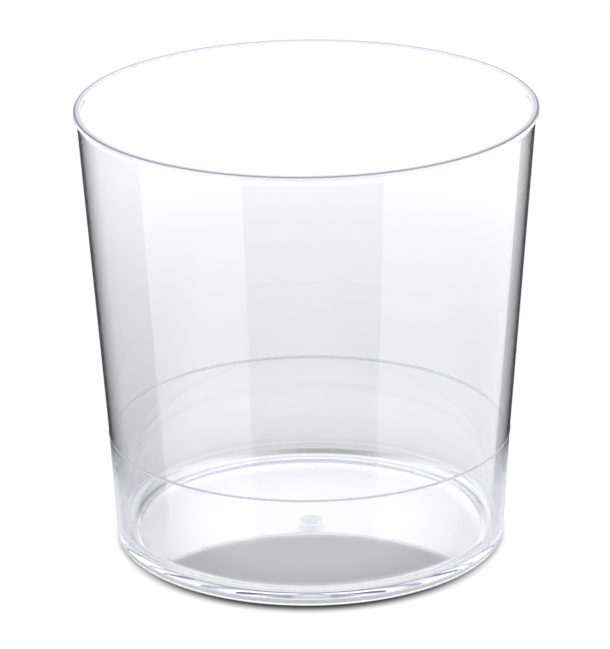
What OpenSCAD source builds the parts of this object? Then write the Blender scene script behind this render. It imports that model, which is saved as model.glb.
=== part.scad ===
// Clear disposable tumbler, injection moulded in one piece.
// The origin is the centre of the foot on the table, and +Z is the axis of the cup.
// Lengths are in millimetres.

/* [Body] */
// Height from the table to the top of the lip
cup_h = 92; // [70:1:120]
// Outside diameter of the wall where it meets the lip
mouth_d = 92; // [86:0.5:104]
// Outside diameter of the wall at the moulded line
line_d = 82; // [74:0.5:85]
// Outside diameter of the wall at the table, before its corner is rounded
heel_d = 79.4; // [68:0.2:81.8]

/* [Wall] */
// Thickness of the wall above the moulded line
wall_t = 0.8; // [0.5:0.05:1.6]
// Thickness of the wall where it meets the floor
heel_t = 1.25; // [0.8:0.05:2.4]

/* [Lip] */
// How far the lip stands out from the wall
lip_w = 0.5; // [0.3:0.05:1.5]
// Height of the lip
lip_h = 0.9; // [0.6:0.05:2]
// Rounding of the edges of the lip
lip_r = 0.25; // [0.05:0.05:0.28]
// Height over which the wall flares out to the lip
flare_h = 0.9; // [0.4:0.1:3]
// Rounding where the flare leaves the wall
flare_r = 1.2; // [0.2:0.1:3]

/* [Moulded line] */
// Height of the moulded line above the table
line_h = 23.4; // [15:0.2:40]
// Width of the fine bead along the line
bead_w = 0.5; // [0.4:0.05:1.5]
// How far the bead stands out from the wall
bead_h = 0.12; // [0.05:0.01:0.4]

/* [Base] */
// Thickness of the floor
floor_t = 1; // [0.8:0.05:2.4]
// Height of the foot ring, which holds the floor off the table
foot_h = 1.2; // [0.9:0.05:2.5]
// Width of the foot ring, from the heel to its inner edge
foot_w = 3.4; // [2.8:0.1:8]
// Rounding of the outer corner of the foot
heel_r = 1.8; // [0.4:0.1:2]
// Rounding of the inner edges of the foot ring
foot_r = 0.3; // [0.1:0.05:0.45]
// Rounding inside, between the wall and the floor
floor_r = 3.7; // [0.4:0.1:4.5]
// Rise of the floor from its edge to its middle
crown_h = 0.05; // [0:0.05:1.5]

/* [Gate] */
// Diameter of the shallow dimple around the moulding gate
dimple_d = 16; // [8:0.5:30]
// Rise of the dimple above the floor around it
dimple_h = 0.03; // [0.01:0.01:1]
// Diameter of the stub left where the gate was cut
gate_d = 4.8; // [1:0.1:6]
// How far the gate stub stands down from the dimple
gate_h = 0.3; // [0.1:0.05:0.45]
// Rounding of the edge of the gate stub
gate_r = 0.1; // [0.05:0.05:0.2]

/* [Hidden] */
$fn = 180;
arc_steps = 8;
crown_steps = 28;

mouth_r = mouth_d / 2;
rim_r = mouth_r + lip_w;
line_r = line_d / 2;
heel_x = heel_d / 2;
recess_r = heel_x - foot_w;
floor_top = foot_h + floor_t;
flare_z = cup_h - lip_h - flare_h;
inner_heel_r = wall_r(floor_top) - heel_t;
floor_edge_r = inner_heel_r - floor_r;
gate_x = gate_d / 2;
dimple_r = dimple_d / 2;

// Outside radius of the wall at height z, without the bead and the lip
function wall_r(z) =
    z < line_h ? heel_x + (line_r - heel_x) * z / line_h
               : line_r + (mouth_r - line_r) * (z - line_h) / (cup_h - line_h);

// How far the floor has risen at radius r: a slow crown, with the gate's dimple on top of it
function floor_rise(r) =
    crown_h * max(0, 1 - pow(r / floor_edge_r, 2))
    + (r < dimple_r ? dimple_h * (1 + cos(180 * r / dimple_r)) / 2 : 0);

function unit(v) = v / norm(v);

// The arc that rounds a corner between two straight edges, from the first edge to the second
function corner_arc(before, corner, after, r) =
    let (
        u = unit(before - corner),
        w = unit(after - corner),
        half = acos(u * w) / 2,
        centre = corner + unit(u + w) * r / sin(half),
        first = corner + u * r / tan(half) - centre,
        start = atan2(first.y, first.x),
        turn = (180 - 2 * half) * sign(u.x * w.y - u.y * w.x)
    )
    [for (i = [0 : arc_steps]) centre + r * [cos(start - turn * i / arc_steps), sin(start - turn * i / arc_steps)]];

// A path of [x, y, rounding] corners as points, with its two ends kept
function rounded(path) = [
    for (i = [0 : len(path) - 1])
        let (p = [path[i][0], path[i][1]])
        each i == 0 || i == len(path) - 1 || path[i][2] == 0
            ? [p]
            : corner_arc([path[i - 1][0], path[i - 1][1]], p, [path[i + 1][0], path[i + 1][1]], path[i][2])
];

// Underside, from the axis out over the gate stub and the crowned recess
underside = concat(
    rounded([
        [0, foot_h + floor_rise(0) - gate_h, 0],
        [gate_x, foot_h + floor_rise(0) - gate_h, gate_r],
        [gate_x, foot_h + floor_rise(gate_x), 0]
    ]),
    [for (i = [1 : crown_steps - 1])
        let (r = gate_x + (recess_r - foot_r - gate_x) * i / crown_steps)
        [r, foot_h + floor_rise(r)]]
);

// Outside, from the recess over the foot ring and up the wall to the lip
outside = rounded([
    [recess_r - 2 * foot_r, foot_h + floor_rise(recess_r - 2 * foot_r), 0],
    [recess_r, foot_h, foot_r],
    [recess_r, 0, foot_r],
    [heel_x, 0, heel_r],
    [wall_r(line_h - bead_w / 2), line_h - bead_w / 2, 0],
    [line_r + bead_h, line_h, bead_w / 4],
    [wall_r(line_h + bead_w / 2), line_h + bead_w / 2, 0],
    [wall_r(flare_z), flare_z, flare_r],
    [rim_r, cup_h - lip_h, lip_r],
    [rim_r, cup_h, lip_r],
    [mouth_r - wall_t, cup_h, lip_r],
    [line_r - wall_t, line_h, 0]
]);

// Inside, from the moulded line down to the floor and in to the axis
inside = concat(
    rounded([
        [line_r - wall_t, line_h, 0],
        [inner_heel_r, floor_top, floor_r],
        [floor_edge_r, floor_top, 0]
    ]),
    [for (i = [1 : crown_steps])
        let (r = floor_edge_r * (1 - i / crown_steps))
        [r, floor_top + floor_rise(r)]]
);

module cup() {
    color([0.93, 0.94, 0.96, 0.35])
        rotate_extrude()
            polygon(concat(underside, outside, inside));
}

cup();
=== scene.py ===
import math

import bpy
from mathutils import Euler, Matrix, Vector


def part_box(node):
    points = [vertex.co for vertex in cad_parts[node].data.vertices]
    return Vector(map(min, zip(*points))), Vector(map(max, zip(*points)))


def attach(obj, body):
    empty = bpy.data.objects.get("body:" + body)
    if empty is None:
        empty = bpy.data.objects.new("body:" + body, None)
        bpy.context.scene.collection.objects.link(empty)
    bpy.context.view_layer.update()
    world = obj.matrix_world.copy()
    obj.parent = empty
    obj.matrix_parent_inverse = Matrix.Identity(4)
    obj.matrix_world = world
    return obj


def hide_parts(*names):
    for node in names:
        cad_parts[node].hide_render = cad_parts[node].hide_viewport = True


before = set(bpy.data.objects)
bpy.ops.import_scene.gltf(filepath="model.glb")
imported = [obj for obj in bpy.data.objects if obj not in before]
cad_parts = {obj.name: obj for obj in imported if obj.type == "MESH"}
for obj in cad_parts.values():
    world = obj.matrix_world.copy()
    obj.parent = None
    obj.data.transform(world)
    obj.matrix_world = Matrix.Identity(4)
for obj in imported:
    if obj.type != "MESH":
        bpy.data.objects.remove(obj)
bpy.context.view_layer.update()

# Sizes of the cup in millimetres, as in the part's source. Height and rim come from the CAD box.
MM = 0.001
CAD_HIGH = Vector(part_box("cup")[1]) / MM
CUP_H = CAD_HIGH.z
RIM_R = CAD_HIGH.x
LIP_W, LIP_H, LIP_R = 0.5, 0.9, 0.25
FLARE_H, FLARE_R = 0.9, 1.2
MOUTH_R = RIM_R - LIP_W
LINE_R, LINE_H = 41.0, 23.4
BEAD_W, BEAD_H = 0.5, 0.12
HEEL_X, HEEL_R = 39.7, 1.8
WALL_T, HEEL_T = 0.8, 1.25
FLOOR_T, FLOOR_R = 1.0, 3.7
FOOT_H, FOOT_W, FOOT_R = 1.2, 3.4, 0.3
CROWN_H = 0.05
DIMPLE_R, DIMPLE_H = 8.0, 0.03
GATE_R, GATE_H, GATE_EDGE_R = 2.4, 0.3, 0.1
RECESS_R = HEEL_X - FOOT_W
FLOOR_TOP = FOOT_H + FLOOR_T
FLARE_Z = CUP_H - LIP_H - FLARE_H

# How finely the section is drawn and turned: points in a rounding, along the floor and round the axis
ARC_STEPS = 14
FLOOR_STEPS = 40
TURN_STEPS = 256
# A straight run has a point at least this often, and one this close to each end, in millimetres
LONGEST_RUN = 3.0
EDGE_SUPPORT = 0.04
SHORTEST_RUN = 4 * EDGE_SUPPORT
# Points closer than this are one point, in metres
MERGE_DISTANCE = 1e-6

# The photograph's camera, in metres and degrees
IMAGE_HEIGHT = 649
FOCAL_PIXELS = 4428.24
SENSOR = 36.0
CAMERA_AT = (0.0, -0.8452, 0.35375)
CAMERA_PITCH, CAMERA_YAW, CAMERA_ROLL = 20.0429, -0.0477, -0.636


def wall_radius(z):
    """Outside radius of the wall at a height, without the bead and the lip."""
    if z < LINE_H:
        return HEEL_X + (LINE_R - HEEL_X) * z / LINE_H
    return LINE_R + (MOUTH_R - LINE_R) * (z - LINE_H) / (CUP_H - LINE_H)


INNER_HEEL_R = wall_radius(FLOOR_TOP) - HEEL_T
FLOOR_EDGE_R = INNER_HEEL_R - FLOOR_R


def floor_rise(r):
    """How far the floor has risen at a radius: a slow crown and the dimple over the gate."""
    rise = CROWN_H * max(0, 1 - (r / FLOOR_EDGE_R) ** 2)
    if r < DIMPLE_R:
        rise += DIMPLE_H * (1 + math.cos(math.pi * r / DIMPLE_R)) / 2
    return rise


def corner_arc(before, corner, after, r):
    """The points that round a corner between two straight edges."""
    u = (before - corner).normalized()
    w = (after - corner).normalized()
    half = u.angle(w) / 2
    centre = corner + (u + w).normalized() * r / math.sin(half)
    first = corner + u * r / math.tan(half) - centre
    start = math.atan2(first.y, first.x)
    turn = math.copysign(math.pi - 2 * half, u.x * w.y - u.y * w.x)
    angles = [start - turn * i / ARC_STEPS for i in range(ARC_STEPS + 1)]
    return [centre + r * Vector((math.cos(a), math.sin(a))) for a in angles]


def straight(start, end):
    """Points along a straight run, and close to its ends, so that it stays flat in the light."""
    run = (end - start).length
    if run < SHORTEST_RUN:
        return []
    pieces = math.ceil(run / LONGEST_RUN)
    near, far = EDGE_SUPPORT / run, 1 - EDGE_SUPPORT / run
    return [start.lerp(end, near + (far - near) * i / pieces) for i in range(pieces + 1)]


def rounded(path):
    """A path of (radius, height, rounding) corners as points, with its two ends kept."""
    points = [Vector(corner[:2]) for corner in path]
    drawn = [points[0]]
    for i in range(1, len(path)):
        corner = [points[i]]
        if path[i][2]:
            corner = corner_arc(points[i - 1], points[i], points[i + 1], path[i][2])
        drawn += straight(drawn[-1], corner[0]) + corner
    return drawn


def cup_section():
    """The cup's half section as points, from the gate round the foot and the lip to the floor."""
    gate_z = FOOT_H + floor_rise(0) - GATE_H
    step = (RECESS_R - FOOT_R - GATE_R) / FLOOR_STEPS
    beside_gate = GATE_R + step
    gate = [
        (0, gate_z, 0),
        (GATE_R, gate_z, GATE_EDGE_R),
        (GATE_R, FOOT_H + floor_rise(GATE_R), 0),
        (beside_gate, FOOT_H + floor_rise(beside_gate), 0),
    ]
    underside = []
    for i in range(2, FLOOR_STEPS):
        r = GATE_R + step * i
        underside.append(Vector((r, FOOT_H + floor_rise(r))))
    recess_start = RECESS_R - 2 * FOOT_R
    below_bead, above_bead = LINE_H - BEAD_W / 2, LINE_H + BEAD_W / 2
    outside = [
        (recess_start, FOOT_H + floor_rise(recess_start), 0),
        (RECESS_R, FOOT_H, FOOT_R),
        (RECESS_R, 0, FOOT_R),
        (HEEL_X, 0, HEEL_R),
        (wall_radius(below_bead), below_bead, 0),
        (LINE_R + BEAD_H, LINE_H, BEAD_W / 4),
        (wall_radius(above_bead), above_bead, 0),
        (wall_radius(FLARE_Z), FLARE_Z, FLARE_R),
        (RIM_R, CUP_H - LIP_H, LIP_R),
        (RIM_R, CUP_H, LIP_R),
        (MOUTH_R - WALL_T, CUP_H, LIP_R),
        (LINE_R - WALL_T, LINE_H, 0),
        (INNER_HEEL_R, FLOOR_TOP, FLOOR_R),
        (FLOOR_EDGE_R, FLOOR_TOP, 0),
    ]
    inside = []
    for i in range(1, FLOOR_STEPS + 1):
        r = FLOOR_EDGE_R * (1 - i / FLOOR_STEPS)
        inside.append(Vector((r, FLOOR_TOP + floor_rise(r))))
    return rounded(gate) + underside + rounded(outside) + inside


def turned(name, points):
    """A section drawn vertex by vertex and turned round the cup's axis."""
    bpy.ops.object.select_all(action="DESELECT")
    bpy.ops.mesh.primitive_plane_add(size=MM)
    piece = bpy.context.object
    piece.name = name
    bpy.ops.object.mode_set(mode="EDIT")
    bpy.ops.mesh.select_all(action="SELECT")
    bpy.ops.mesh.merge(type="CENTER")
    bpy.ops.transform.translate(value=(points[0].x * MM, 0, points[0].y * MM))
    for start, end in zip(points, points[1:]):
        step = (end - start) * MM
        bpy.ops.mesh.extrude_vertices_move(
            TRANSFORM_OT_translate={"value": (step.x, 0, step.y)})
    bpy.ops.mesh.select_all(action="SELECT")
    bpy.ops.mesh.spin(steps=TURN_STEPS, angle=math.tau, center=(0, 0, 0), axis=(0, 0, 1))
    bpy.ops.mesh.select_all(action="SELECT")
    bpy.ops.mesh.remove_doubles(threshold=MERGE_DISTANCE)
    bpy.ops.mesh.normals_make_consistent(inside=False)
    bpy.ops.object.mode_set(mode="OBJECT")
    bpy.ops.object.shade_smooth()
    return piece


def linear(hex_colour):
    """An sRGB hex colour as the linear RGBA that a shader takes."""
    srgb = [int(hex_colour[i:i + 2], 16) / 255 for i in (1, 3, 5)]
    rgb = [c / 12.92 if c <= 0.04045 else ((c + 0.055) / 1.055) ** 2.4 for c in srgb]
    return (*rgb, 1.0)


def add_node(tree, kind, inputs, **settings):
    """Adds a node with its settings, and sets or links its inputs."""
    node = tree.nodes.new(kind)
    for name, value in settings.items():
        setattr(node, name, value)
    for name, value in inputs.items():
        if isinstance(value, bpy.types.NodeSocket):
            tree.links.new(value, node.inputs[name])
        else:
            node.inputs[name].default_value = value
    return node


# Crystal polystyrene, injection moulded in a polished mould: clear and hard, with a sharp gloss. The
# wall is clear to look straight through and a little greyer through more plastic. Where the eye looks
# along the outer wall, it is also painted dark grey, a painted shade that stands for a dark room
# mirrored there.
# Heights, radii and distances in the plastic are in metres.
POLYSTYRENE_IOR = 1.59
CLEAR = "#fdfdff"
# Colour that is left after a long way through the plastic, and how soon it takes hold, per metre
DEPTH_COLOUR = "#c8c8dc"
DEPTH_DENSITY = 15.0
# Painted shade: the dark grey painted on the outer wall seen edge on, and how far it is turned from the
# eye when that comes in: 0 is square on, 1 is edge on, and an even blend leaves the turn as it is
EDGE_SHADE = "#242428"
EDGE_FACING = (0.64, 0.86)
EVEN_BLEND = 0.5
# The outer wall is where the radius, less what the wall's slope adds to it, is past these, and the
# painted shade lies on it from the moulded line up to the flare
OUTSIDE_SLOPE = (MOUTH_R - LINE_R) / (CUP_H - LINE_H)
OUTSIDE_FROM = (0.0388, 0.0390)
GREY_FROM = (0.0205, 0.0238)
GREY_TO = (0.0898, 0.0902)
# The parts of the mould meet at the lip, along the moulded line and at the gate, so those are a little
# hazy, and pale on top of the lip. The dark grey on the lip's outer edge is painted shade, and the grey
# on the line and where the gate was cut is partly haze and partly painted shade.
LIP_COLOUR, LIP_FROM = "#e6e3f2", (0.0917, 0.0920)
LIP_EDGE_SHADE, LIP_EDGE_FROM = "#78788a", (0.0459, 0.0462)
SEAM_HAZE_AND_SHADE = "#c2c2d0"
LINE_HAZE, LINE_NEAR = 0.8, (0.00008, 0.0002)
GATE_HAZE, GATE_NEAR, GATE_BELOW = 0.6, (0.0021, 0.0025), (0.0012, 0.0016)
SEAM_ROUGHNESS = 0.3
SEAM_CLARITY, LIP_CLARITY = 0.5, 0.3
# Keeps the part of a place that lies across the cup's axis
ACROSS_AXIS = (1.0, 1.0, 0.0)


def painted_edge_shade(tree, height, radius):
    """How much painted shade the outer wall takes: most where it is seen edge on."""
    facing = add_node(tree, "ShaderNodeLayerWeight", {"Blend": EVEN_BLEND})
    edge = add_node(tree, "ShaderNodeMapRange", {
        "Value": facing.outputs["Facing"],
        "From Min": EDGE_FACING[0], "From Max": EDGE_FACING[1]})
    upright = add_node(tree, "ShaderNodeMath", {
        0: height, 1: -OUTSIDE_SLOPE, 2: radius}, operation="MULTIPLY_ADD")
    outside = add_node(tree, "ShaderNodeMapRange", {
        "Value": upright.outputs[0],
        "From Min": OUTSIDE_FROM[0], "From Max": OUTSIDE_FROM[1]})
    above_line = add_node(tree, "ShaderNodeMapRange", {
        "Value": height, "From Min": GREY_FROM[0], "From Max": GREY_FROM[1]},
        interpolation_type="SMOOTHSTEP")
    below_flare = add_node(tree, "ShaderNodeMapRange", {
        "Value": height, "From Min": GREY_TO[0], "From Max": GREY_TO[1],
        "To Min": 1.0, "To Max": 0.0})
    between = add_node(tree, "ShaderNodeMath", {
        0: above_line.outputs[0], 1: below_flare.outputs[0]}, operation="MULTIPLY")
    wall = add_node(tree, "ShaderNodeMath", {
        0: outside.outputs[0], 1: between.outputs[0]}, operation="MULTIPLY")
    return add_node(tree, "ShaderNodeMath", {
        0: edge.outputs[0], 1: wall.outputs[0]}, operation="MULTIPLY").outputs[0]


def seam_haze(tree, height, radius):
    """How hazy the moulded line and the cut gate are."""
    from_line = add_node(tree, "ShaderNodeMath", {
        0: height, 1: LINE_H * MM}, operation="SUBTRACT")
    beside_line = add_node(tree, "ShaderNodeMath", {
        0: from_line.outputs[0]}, operation="ABSOLUTE")
    line = add_node(tree, "ShaderNodeMapRange", {
        "Value": beside_line.outputs[0], "From Min": LINE_NEAR[0], "From Max": LINE_NEAR[1],
        "To Min": LINE_HAZE, "To Max": 0.0})
    in_gate = add_node(tree, "ShaderNodeMapRange", {
        "Value": radius, "From Min": GATE_NEAR[0], "From Max": GATE_NEAR[1],
        "To Min": GATE_HAZE, "To Max": 0.0})
    below_floor = add_node(tree, "ShaderNodeMapRange", {
        "Value": height, "From Min": GATE_BELOW[0], "From Max": GATE_BELOW[1],
        "To Min": 1.0, "To Max": 0.0})
    gate = add_node(tree, "ShaderNodeMath", {
        0: in_gate.outputs[0], 1: below_floor.outputs[0]}, operation="MULTIPLY")
    return add_node(tree, "ShaderNodeMath", {
        0: line.outputs[0], 1: gate.outputs[0]}, operation="MAXIMUM").outputs[0]


def colour_with_painted_shade(tree, radius, grey, lip, seam):
    """The plastic's colour: clear, with painted shade edge on and on the lip's outer edge, pale on top
    of the lip, and grey on a seam, partly painted shade.
    """
    # painted shade on the outer wall seen edge on, mixed into the clear colour
    wall = add_node(tree, "ShaderNodeMix", {
        "Factor": grey, "A": linear(CLEAR), "B": linear(EDGE_SHADE)}, data_type="RGBA")
    # the lip's outer edge is painted dark grey, a painted shade
    lip_edge = add_node(tree, "ShaderNodeMapRange", {
        "Value": radius, "From Min": LIP_EDGE_FROM[0], "From Max": LIP_EDGE_FROM[1]})
    lip_colour = add_node(tree, "ShaderNodeMix", {
        "Factor": lip_edge.outputs[0], "A": linear(LIP_COLOUR), "B": linear(LIP_EDGE_SHADE)},
        data_type="RGBA")
    with_lip = add_node(tree, "ShaderNodeMix", {
        "Factor": lip, "A": wall.outputs["Result"], "B": lip_colour.outputs["Result"]},
        data_type="RGBA")
    # the seam's grey is partly haze and partly painted shade
    return add_node(tree, "ShaderNodeMix", {
        "Factor": seam, "A": with_lip.outputs["Result"], "B": linear(SEAM_HAZE_AND_SHADE)},
        data_type="RGBA").outputs["Result"]


def skin_clarity(tree, lip, seam):
    """How clear the surface is: less at the lip and on a seam, as light meets them from outside."""
    clear_seam = add_node(tree, "ShaderNodeMapRange", {
        "Value": seam, "To Min": 1.0, "To Max": SEAM_CLARITY})
    clear_lip = add_node(tree, "ShaderNodeMapRange", {
        "Value": lip, "To Min": 1.0, "To Max": LIP_CLARITY})
    clear_skin = add_node(tree, "ShaderNodeMath", {
        0: clear_seam.outputs[0], 1: clear_lip.outputs[0]}, operation="MINIMUM")
    face = add_node(tree, "ShaderNodeNewGeometry", {})
    return add_node(tree, "ShaderNodeMath", {
        0: clear_skin.outputs[0], 1: face.outputs["Backfacing"]}, operation="MAXIMUM").outputs[0]


def crystal_polystyrene():
    """The cup's clear plastic, with its hazy lip, line and gate, and painted shade edge on, on the
    lip's outer edge and on the seams.
    """
    material = bpy.data.materials.new("crystal polystyrene, polished moulding")
    material.use_nodes = True
    tree = material.node_tree
    place = add_node(tree, "ShaderNodeTexCoord", {}).outputs["Object"]
    height = add_node(tree, "ShaderNodeSeparateXYZ", {"Vector": place}).outputs["Z"]
    level = add_node(tree, "ShaderNodeVectorMath", {0: place, 1: ACROSS_AXIS}, operation="MULTIPLY")
    radius = add_node(tree, "ShaderNodeVectorMath", {
        0: level.outputs[0]}, operation="LENGTH").outputs["Value"]

    # painted shade on the outer wall where it is seen edge on
    grey = painted_edge_shade(tree, height, radius)
    seam = seam_haze(tree, height, radius)
    lip = add_node(tree, "ShaderNodeMapRange", {
        "Value": height, "From Min": LIP_FROM[0], "From Max": LIP_FROM[1]}).outputs[0]
    hazy = add_node(tree, "ShaderNodeMath", {0: lip, 1: seam}, operation="MAXIMUM")
    roughness = add_node(tree, "ShaderNodeMath", {
        0: hazy.outputs[0], 1: SEAM_ROUGHNESS}, operation="MULTIPLY")
    depth = add_node(tree, "ShaderNodeVolumeAbsorption", {
        "Color": linear(DEPTH_COLOUR), "Density": DEPTH_DENSITY})

    shader = tree.nodes["Principled BSDF"]
    shader.inputs["IOR"].default_value = POLYSTYRENE_IOR
    colour = colour_with_painted_shade(tree, radius, grey, lip, seam)
    tree.links.new(colour, shader.inputs["Base Color"])
    tree.links.new(roughness.outputs[0], shader.inputs["Roughness"])
    tree.links.new(skin_clarity(tree, lip, seam), shader.inputs["Transmission Weight"])
    tree.links.new(depth.outputs[0], tree.nodes["Material Output"].inputs["Volume"])
    return material


def mirrored_rays(tree, ray):
    """1 for what the plastic mirrors, and 0 for what shows through it."""
    return add_node(tree, "ShaderNodeMath", {
        0: ray.outputs["Is Glossy Ray"], 1: ray.outputs["Is Transmission Ray"]},
        operation="SUBTRACT").outputs[0]


# The studio: a bright band of wall from the horizon to a little over eye height, a dark strip above it,
# a pale ceiling, and one soft lamp overhead. The camera sees white, and the plastic mirrors a room as
# pale as the ceiling. Heights are sines of the angle above the horizon.
WHITE_LIGHT = "#ffffff"
SEEN_STRENGTH = 1.0
BAND_STRENGTH = 2.4
HORIZON_STRENGTH = 1.0
BAND_FROM = (0.0, math.sin(math.radians(12)))
BAND_TOP = (math.sin(math.radians(23.1)), math.sin(math.radians(23.7)))
ABOVE_STRENGTH = 0.1
CEILING_STRENGTH = 0.9
CEILING_FROM = (math.sin(math.radians(27)), math.sin(math.radians(33)))


def studio_world():
    """The plain room round the table."""
    world = bpy.data.worlds.new("studio")
    bpy.context.scene.world = world
    world.use_nodes = True
    tree = world.node_tree
    tree.nodes.clear()
    place = add_node(tree, "ShaderNodeTexCoord", {})
    height = add_node(tree, "ShaderNodeSeparateXYZ", {
        "Vector": place.outputs["Generated"]}).outputs["Z"]
    band = add_node(tree, "ShaderNodeMapRange", {
        "Value": height, "From Min": BAND_TOP[0], "From Max": BAND_TOP[1],
        "To Min": BAND_STRENGTH, "To Max": ABOVE_STRENGTH})
    ceiling = add_node(tree, "ShaderNodeMapRange", {
        "Value": height, "From Min": CEILING_FROM[0], "From Max": CEILING_FROM[1],
        "To Min": ABOVE_STRENGTH, "To Max": CEILING_STRENGTH})
    rising = add_node(tree, "ShaderNodeMapRange", {
        "Value": height, "From Min": BAND_FROM[0], "From Max": BAND_FROM[1],
        "To Min": HORIZON_STRENGTH, "To Max": BAND_STRENGTH})
    wall = add_node(tree, "ShaderNodeMath", {
        0: band.outputs[0], 1: rising.outputs[0]}, operation="MINIMUM")
    room = add_node(tree, "ShaderNodeMath", {
        0: wall.outputs[0], 1: ceiling.outputs[0]}, operation="MAXIMUM")
    ray = add_node(tree, "ShaderNodeLightPath", {})
    seen = add_node(tree, "ShaderNodeMix", {
        "Factor": ray.outputs["Is Camera Ray"], "A": room.outputs[0], "B": SEEN_STRENGTH},
        data_type="FLOAT")
    strength = add_node(tree, "ShaderNodeMix", {
        "Factor": mirrored_rays(tree, ray), "A": seen.outputs[0], "B": CEILING_STRENGTH},
        data_type="FLOAT")
    light = add_node(tree, "ShaderNodeBackground", {
        "Color": linear(WHITE_LIGHT), "Strength": strength.outputs[0]})
    add_node(tree, "ShaderNodeOutputWorld", {"Surface": light.outputs[0]})


# The table: matt white laminate, smooth and without grain. To the camera it glows plain white with a
# painted shadow, and through the cup and in the plastic's gloss it shows painted light and shade.
# Sizes and distances on it are in metres.
TABLE_SIZE = 6.0
TABLE_WHITE = "#cecece"
# Painted light and shade: the table glows where it shows through the cup, though it is no lamp. Its
# strength, and shares of it by the distance from the cup's axis and by the place across, paint the grey
# under and round the cup. Between two distances from the axis the shares across fade out.
PAINTED_THROUGH_GLOW = 0.49
PAINTED_ROUND_SHARES = (
    (0.0, 1.0), (0.020, 0.88), (0.033, 0.58), (0.0362, 1.2), (0.0400, 1.2), (0.0425, 0.45),
    (0.050, 0.32), (0.070, 0.42), (0.13, 0.42), (0.20, 0.54), (0.25, 0.77))
PAINTED_ACROSS_SHARES = ((-0.0385, 0.2), (-0.026, 1.0), (0.034, 1.0), (0.042, 0.7))
ACROSS_RADII = (0.075, 0.20)
# Painted contact shadow: the dark line where the back of the foot meets the table, as shares by the
# distance from the axis, the middle of the line and how far it reaches from there
CONTACT_SHADOW_SHARES = ((0.0400, 1.0), (0.0407, 0.42), (0.0415, 0.42), (0.0425, 1.0))
CONTACT_AT, CONTACT_REACH = (0.004, 0.041, 0.0), (0.004, 0.024)
# The cup's soft shadow on the white table: a round patch a little to the front, and the corner close
# round the heel, with the strength that is left in each
SHADOW_CENTRE = (0.0, -0.003, 0.0)
SHADOW_RADII = (0.0358, 0.0398)
SHADOW_DEPTH = 0.06
CORNER_RADII, CORNER_DEPTH = (0.0385, 0.0405), 0.3
# Painted reflection: what the plastic mirrors of the table is painted on it, pale near the cup, dark
# further out and grey beyond that
PAINTED_MIRROR_NEAR, PAINTED_MIRROR_FAR = 0.8, 0.06
MIRROR_RADII = (0.054, 0.072)
PAINTED_MIRROR_BEYOND, BEYOND_RADII = 0.5, (0.28, 0.30)
# Two bright panels painted on the table, which glow though they are no lamps, and which the outer wall
# mirrors as pale upright strips, a painted reflection: strength, softness of their sides, the wall's
# radius, and where on the wall each strip starts and ends, in degrees from the front
PAINTED_PANEL_LIGHT = 1.2
PANEL_SOFT = 0.002
PANEL_WALL_R = 0.0435
PANELS = ((19.5, 69.0), (-47.0, -16.5))


def painted_table_shares(tree, place, radius):
    """Shares of the table's painted light and shade round the cup and across it, and of the painted
    shadow along the line where the foot meets it.
    """
    across = add_node(tree, "ShaderNodeSeparateXYZ", {"Vector": place}).outputs["X"]
    shares = []
    for distance, stops in (
            (radius, PAINTED_ROUND_SHARES), (across, PAINTED_ACROSS_SHARES), (radius, CONTACT_SHADOW_SHARES)):
        start, end = stops[0][0], stops[-1][0]
        along = add_node(tree, "ShaderNodeMapRange", {
            "Value": distance, "From Min": start, "From Max": end})
        share = add_node(tree, "ShaderNodeValToRGB", {"Fac": along.outputs[0]})
        ramp = share.color_ramp.elements
        for stop, _ in stops[1:-1]:
            ramp.new((stop - start) / (end - start))
        for element, (_, level) in zip(ramp, stops):
            element.color = (level, level, level, 1.0)
        shares.append(share.outputs[0])
    return shares


def table_through_cup_painted(tree, ray, place, radius):
    """The matt table as light meets it, with a painted glow where it shows through the cup and a
    painted shadow in its colour behind the foot.
    """
    round_cup, across_cup, contact_shadow_share = painted_table_shares(tree, place, radius)
    away = add_node(tree, "ShaderNodeMapRange", {
        "Value": radius, "From Min": ACROSS_RADII[0], "From Max": ACROSS_RADII[1]})
    aside = add_node(tree, "ShaderNodeMix", {
        "Factor": away.outputs[0], "A": across_cup, "B": 1.0}, data_type="FLOAT")
    share = add_node(tree, "ShaderNodeMath", {
        0: round_cup, 1: aside.outputs[0]}, operation="MULTIPLY")

    # painted contact shadow behind the foot, in the glow and in the table's colour
    from_contact = add_node(tree, "ShaderNodeVectorMath", {
        0: place, 1: CONTACT_AT}, operation="DISTANCE")
    behind_foot = add_node(tree, "ShaderNodeMapRange", {
        "Value": from_contact.outputs["Value"],
        "From Min": CONTACT_REACH[0], "From Max": CONTACT_REACH[1],
        "To Min": 1.0, "To Max": 0.0})
    contact = add_node(tree, "ShaderNodeMix", {
        "Factor": behind_foot.outputs[0], "A": 1.0, "B": contact_shadow_share}, data_type="FLOAT")

    # the table glows where it shows through the cup: painted light and shade
    through = add_node(tree, "ShaderNodeMath", {
        0: ray.outputs["Is Transmission Ray"], 1: PAINTED_THROUGH_GLOW}, operation="MULTIPLY")
    in_contact = add_node(tree, "ShaderNodeMath", {
        0: share.outputs[0], 1: contact.outputs[0]}, operation="MULTIPLY")
    glow = add_node(tree, "ShaderNodeMath", {
        0: through.outputs[0], 1: in_contact.outputs[0]}, operation="MULTIPLY")
    shaded = add_node(tree, "ShaderNodeMix", {
        "Factor": 1.0, "A": linear(TABLE_WHITE), "B": contact.outputs[0]},
        data_type="RGBA", blend_type="MULTIPLY")
    matt = add_node(tree, "ShaderNodeBsdfDiffuse", {"Color": shaded.outputs["Result"]})
    lit = add_node(tree, "ShaderNodeEmission", {"Strength": glow.outputs[0]})
    return add_node(tree, "ShaderNodeAddShader", {
        0: matt.outputs[0], 1: lit.outputs[0]}).outputs[0]


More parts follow.
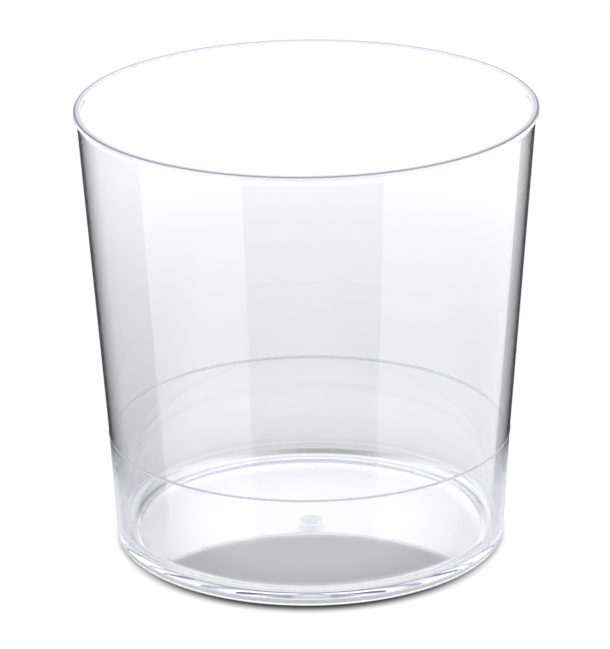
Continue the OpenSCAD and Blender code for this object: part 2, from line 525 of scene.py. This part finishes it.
def table_to_camera(tree, place, radius):
    """The white table with the cup's soft shadow, as the camera sees it."""
    from_shadow = add_node(tree, "ShaderNodeVectorMath", {
        0: place, 1: SHADOW_CENTRE}, operation="DISTANCE")
    shadow = add_node(tree, "ShaderNodeMapRange", {
        "Value": from_shadow.outputs["Value"],
        "From Min": SHADOW_RADII[0], "From Max": SHADOW_RADII[1],
        "To Min": SHADOW_DEPTH, "To Max": 1.0}, interpolation_type="SMOOTHSTEP")
    corner = add_node(tree, "ShaderNodeMapRange", {
        "Value": radius, "From Min": CORNER_RADII[0], "From Max": CORNER_RADII[1],
        "To Min": CORNER_DEPTH, "To Max": 1.0}, interpolation_type="SMOOTHSTEP")
    shade = add_node(tree, "ShaderNodeMath", {
        0: shadow.outputs[0], 1: corner.outputs[0]}, operation="MINIMUM")
    return add_node(tree, "ShaderNodeEmission", {"Strength": shade.outputs[0]}).outputs[0]


def panel_side(tree, place, azimuth):
    """1 on one side of the line on the table that the outer wall mirrors to the front at an azimuth."""
    a = math.radians(azimuth)
    start = PANEL_WALL_R * Vector((math.sin(a), -math.cos(a), 0))
    across = Vector((math.cos(2 * a), math.sin(2 * a), 0))
    offset = across.dot(start)
    beside = add_node(tree, "ShaderNodeVectorMath", {
        0: place, 1: across}, operation="DOT_PRODUCT")
    return add_node(tree, "ShaderNodeMapRange", {
        "Value": beside.outputs["Value"],
        "From Min": offset - PANEL_SOFT, "From Max": offset + PANEL_SOFT},
        interpolation_type="SMOOTHSTEP").outputs[0]


def painted_table_reflection(tree, place, radius):
    """The painted reflection: the table as the plastic mirrors it, with the two painted bright panels.
    """
    # painted reflection: the table is painted for the rays that the plastic mirrors
    lights = []
    for first, last in PANELS:
        before_last = add_node(tree, "ShaderNodeMath", {
            0: 1.0, 1: panel_side(tree, place, last)}, operation="SUBTRACT")
        lights.append(add_node(tree, "ShaderNodeMath", {
            0: panel_side(tree, place, first), 1: before_last.outputs[0]}, operation="MULTIPLY"))
    both = add_node(tree, "ShaderNodeMath", {
        0: lights[0].outputs[0], 1: lights[1].outputs[0]}, operation="ADD")
    beyond = add_node(tree, "ShaderNodeMapRange", {
        "Value": radius, "From Min": BEYOND_RADII[0], "From Max": BEYOND_RADII[1],
        "To Min": PAINTED_MIRROR_FAR, "To Max": PAINTED_MIRROR_BEYOND})
    far = add_node(tree, "ShaderNodeMath", {
        0: both.outputs[0], 1: PAINTED_PANEL_LIGHT, 2: beyond.outputs[0]}, operation="MULTIPLY_ADD")
    near = add_node(tree, "ShaderNodeMapRange", {
        "Value": radius, "From Min": MIRROR_RADII[0], "From Max": MIRROR_RADII[1],
        "To Min": 1.0, "To Max": 0.0}, interpolation_type="SMOOTHSTEP")
    mirror = add_node(tree, "ShaderNodeMix", {
        "Factor": near.outputs[0], "A": far.outputs[0], "B": PAINTED_MIRROR_NEAR}, data_type="FLOAT")
    return add_node(tree, "ShaderNodeEmission", {"Strength": mirror.outputs[0]}).outputs[0]


def table_laminate():
    """The table's white: a white glow with the painted shadow to the camera, painted light and shade
    through the cup, and a painted reflection in the plastic's gloss.
    """
    material = bpy.data.materials.new("white laminate, matt, with painted light and shade")
    material.use_nodes = True
    tree = material.node_tree
    tree.nodes.clear()
    ray = add_node(tree, "ShaderNodeLightPath", {})
    place = add_node(tree, "ShaderNodeTexCoord", {}).outputs["Object"]
    radius = add_node(tree, "ShaderNodeVectorMath", {
        0: place}, operation="LENGTH").outputs["Value"]
    # to the camera the table glows white with a painted shadow; through the cup it shows painted light
    # and shade
    shown = add_node(tree, "ShaderNodeMixShader", {
        0: ray.outputs["Is Camera Ray"],
        1: table_through_cup_painted(tree, ray, place, radius),
        2: table_to_camera(tree, place, radius)})
    surface = add_node(tree, "ShaderNodeMixShader", {
        0: mirrored_rays(tree, ray),
        1: shown.outputs[0],
        2: painted_table_reflection(tree, place, radius)})
    add_node(tree, "ShaderNodeOutputMaterial", {"Surface": surface.outputs[0]})
    return material


def table_top():
    """The table under the cup."""
    bpy.ops.object.select_all(action="DESELECT")
    bpy.ops.mesh.primitive_plane_add(size=TABLE_SIZE)
    table = bpy.context.object
    table.name = "table"
    table.data.materials.append(table_laminate())


# The lamp: side in metres, watts, and place in metres
LAMP_SIZE, LAMP_WATTS = 1.2, 2.0
LAMP_AT = (0.0, 0.1, 1.2)


def overhead_lamp():
    """One large soft lamp over the table, turned to the cup."""
    lamp = bpy.data.objects.new("overhead", bpy.data.lights.new("overhead", "AREA"))
    lamp.data.size = LAMP_SIZE
    lamp.data.energy = LAMP_WATTS
    lamp.location = LAMP_AT
    lamp.rotation_euler = (-Vector(LAMP_AT)).to_track_quat("-Z", "Y").to_euler()
    bpy.context.scene.collection.objects.link(lamp)


def photograph_camera():
    """The camera at the photograph's place, with its lens."""
    camera = bpy.data.objects.new("camera", bpy.data.cameras.new("camera"))
    camera.data.sensor_width = SENSOR
    camera.data.lens = FOCAL_PIXELS * SENSOR / IMAGE_HEIGHT
    aim = Euler((math.radians(90 - CAMERA_PITCH), 0, -math.radians(CAMERA_YAW))).to_matrix()
    aim = aim @ Matrix.Rotation(math.radians(CAMERA_ROLL), 3, "Z")
    camera.matrix_world = Matrix.Translation(CAMERA_AT) @ aim.to_4x4()
    bpy.context.scene.collection.objects.link(camera)
    bpy.context.scene.camera = camera


# Light crosses the clear wall, floor and heel many times before it leaves them
PLASTIC_BOUNCES = 64

cup = turned("tumbler", cup_section())
cup.data.materials.append(crystal_polystyrene())
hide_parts("cup")
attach(cup, "root")

table_top()
studio_world()
overhead_lamp()
photograph_camera()

scene = bpy.context.scene
scene.view_settings.view_transform = "Standard"
scene.cycles.max_bounces = PLASTIC_BOUNCES
scene.cycles.transmission_bounces = PLASTIC_BOUNCES
scene.cycles.glossy_bounces = PLASTIC_BOUNCES
